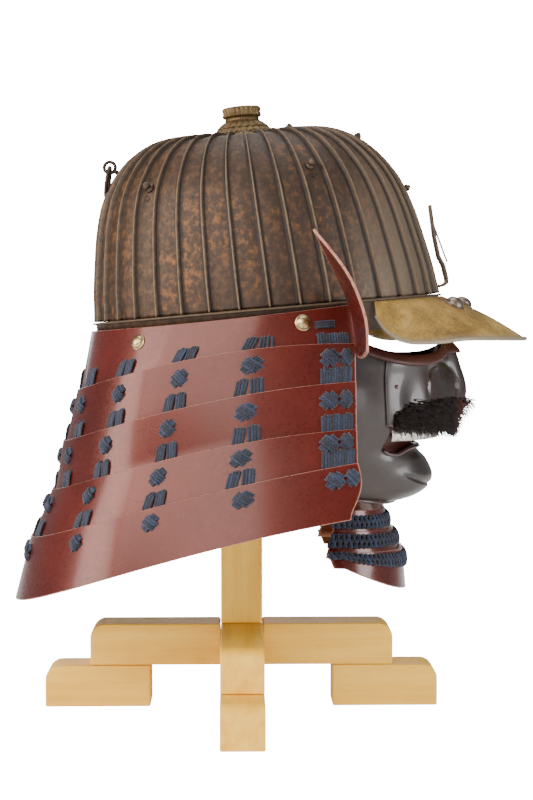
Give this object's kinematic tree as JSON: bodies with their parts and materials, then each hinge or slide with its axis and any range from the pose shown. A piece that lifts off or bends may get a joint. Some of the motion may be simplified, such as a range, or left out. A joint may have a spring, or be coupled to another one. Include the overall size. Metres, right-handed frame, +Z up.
{
  "type": "samurai helmet with face guard on a wooden cross stand",
  "caption": "Ribbed iron samurai helmet with visor, laced flaring neck guard and moustached face guard, carried on a plain wooden cross stand.",
  "frame": {"origin": "under the middle of the whole, on the plane the stand's feet rest on", "axes": "+Z up; the helmet faces -Y and its left side is towards +X; the post's axis is 26.1 mm behind the origin, towards +Y"},
  "size_m": [0.384, 0.4314, 0.5093],
  "materials": {
    "stand_wood": "smooth planed, unvarnished",
    "russet_iron": "russet patina, satin",
    "dark_iron": "dark oxide, satin",
    "worn_gilt": "worn gilding over copper",
    "polished_iron": "polished by wear",
    "red_lacquer": "glossy red-brown lacquer, crazed and worn at the edges",
    "brown_lacquer": "glossy brown-black lacquer over iron",
    "navy_silk": "flat braided silk",
    "bristle": "stiff dark hair",
    "silver": "silvered"
  },
  "bodies": {
    "helmet": {"stand_foot_right": "stand_wood", "stand_foot_back": "stand_wood", "stand_foot_left": "stand_wood", "stand_foot_front": "stand_wood", "stand_beam_long": "stand_wood", "stand_beam_cross": "stand_wood", "stand_post": "stand_wood", "bowl": "russet_iron", "waist_band": "russet_iron", "finial": "worn_gilt", "visor": "worn_gilt", "crest_holder": "dark_iron", "post_back_left": "dark_iron", "post_back_right": "dark_iron", "post_front_left": "dark_iron", "post_front_right": "dark_iron", "post_crown": "dark_iron", "post_upper": "dark_iron", "post_lower": "dark_iron", "visor_rivet_left": "polished_iron", "visor_rivet_centre": "polished_iron", "visor_rivet_right": "polished_iron", "ring_staple": "dark_iron", "neck_plate_1": "red_lacquer", "neck_plate_2": "red_lacquer", "neck_plate_3": "red_lacquer", "neck_plate_4": "red_lacquer", "neck_plate_5": "red_lacquer", "plate_rivet_front_left": "worn_gilt", "plate_rivet_front_right": "worn_gilt", "plate_rivet_back_left": "worn_gilt", "plate_rivet_back_right": "worn_gilt", "lace_0": "navy_silk", "lace_1_left": "navy_silk", "lace_1_right": "navy_silk", "lace_2_left": "navy_silk", "lace_2_right": "navy_silk", "lace_3_left": "navy_silk", "lace_3_right": "navy_silk", "lace_4_left": "navy_silk", "lace_4_right": "navy_silk", "lace_5_left": "navy_silk", "lace_5_right": "navy_silk", "mask_rest": "stand_wood", "mask_cheeks": "brown_lacquer", "mask_nose": "brown_lacquer", "moustache": "bristle", "teeth": "silver", "throat_plate_1": "red_lacquer", "throat_plate_2": "red_lacquer", "throat_plate_3": "red_lacquer", "throat_lacing_1": "navy_silk", "throat_lacing_2": "navy_silk"},
    "flag_ring": {"flag_ring": "dark_iron"}
  },
  "joints": [
    {"name": "flag_ring_swing", "type": "hinge", "parent": "helmet", "child": "flag_ring", "pos_m": [0, 0.13583, 0.45502], "axis": [1, 0, 0], "range_deg": [0, 150]}
  ]
}
